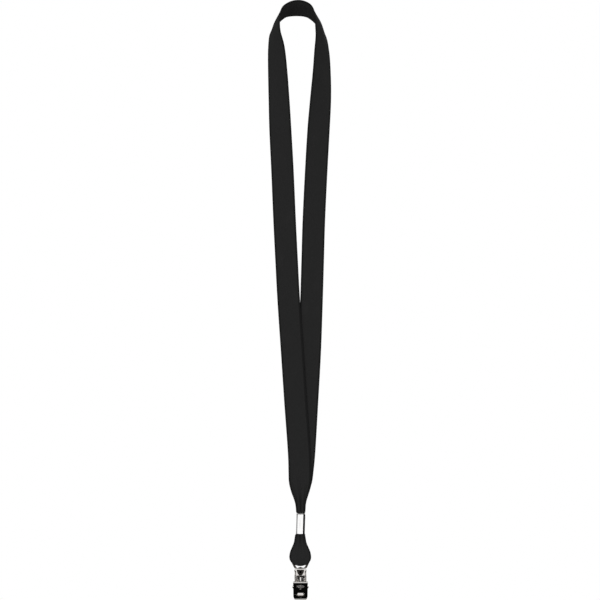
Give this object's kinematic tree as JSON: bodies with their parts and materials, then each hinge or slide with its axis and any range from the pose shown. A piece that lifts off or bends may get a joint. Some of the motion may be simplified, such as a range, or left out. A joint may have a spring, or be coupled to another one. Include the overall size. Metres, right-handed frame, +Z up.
{
  "type": "lanyard with swivel bulldog clip",
  "caption": "Flat webbing neck lanyard, crimped at the end, hanging a strap ring and a swivelling sprung bulldog clip for a badge.",
  "frame": {"origin": "level with the middle of the strap at the top of the loop, in the plane that its two legs hang in; everything hangs below it", "axes": "+Z up along the hanging lanyard, +X to the right seen from the front, +Y towards the back; the clip's lever faces -Y"},
  "size_m": [0.0541, 0.0277, 0.5124],
  "materials": {
    "webbing": "woven polyester, matte",
    "crimp_metal": "bright nickel plate",
    "clip_metal": "polished nickel plate",
    "ring_metal": "dark nickel plate",
    "spring_steel": "drawn wire"
  },
  "bodies": {
    "strap": {"neck_strap": "webbing", "end_loop": "webbing", "crimp_sleeve": "crimp_metal"},
    "ring": {"swivel_ring": "ring_metal", "swivel_rivet": "ring_metal"},
    "clip": {"rear_jaw": "clip_metal", "hinge_pin": "clip_metal", "torsion_spring": "spring_steel"},
    "lever": {"front_jaw": "clip_metal"}
  },
  "joints": [
    {"name": "ring_swing", "type": "hinge", "parent": "strap", "child": "ring", "pos_m": [0, 0, -0.4702], "axis": [1, 0, 0], "range_deg": [-70, 70]},
    {"name": "clip_swivel", "type": "hinge", "parent": "ring", "child": "clip", "pos_m": [0, 0, -0.4765], "axis": [0, 0, 1], "continuous": true},
    {"name": "jaw_open", "type": "hinge", "parent": "clip", "child": "lever", "pos_m": [0, 0, -0.4917], "axis": [-1, 0, 0], "range_deg": [0, 38], "stiffness_Nm_per_rad": 0.02, "springref_deg": -0.57, "deforming": ["torsion_spring"]}
  ]
}
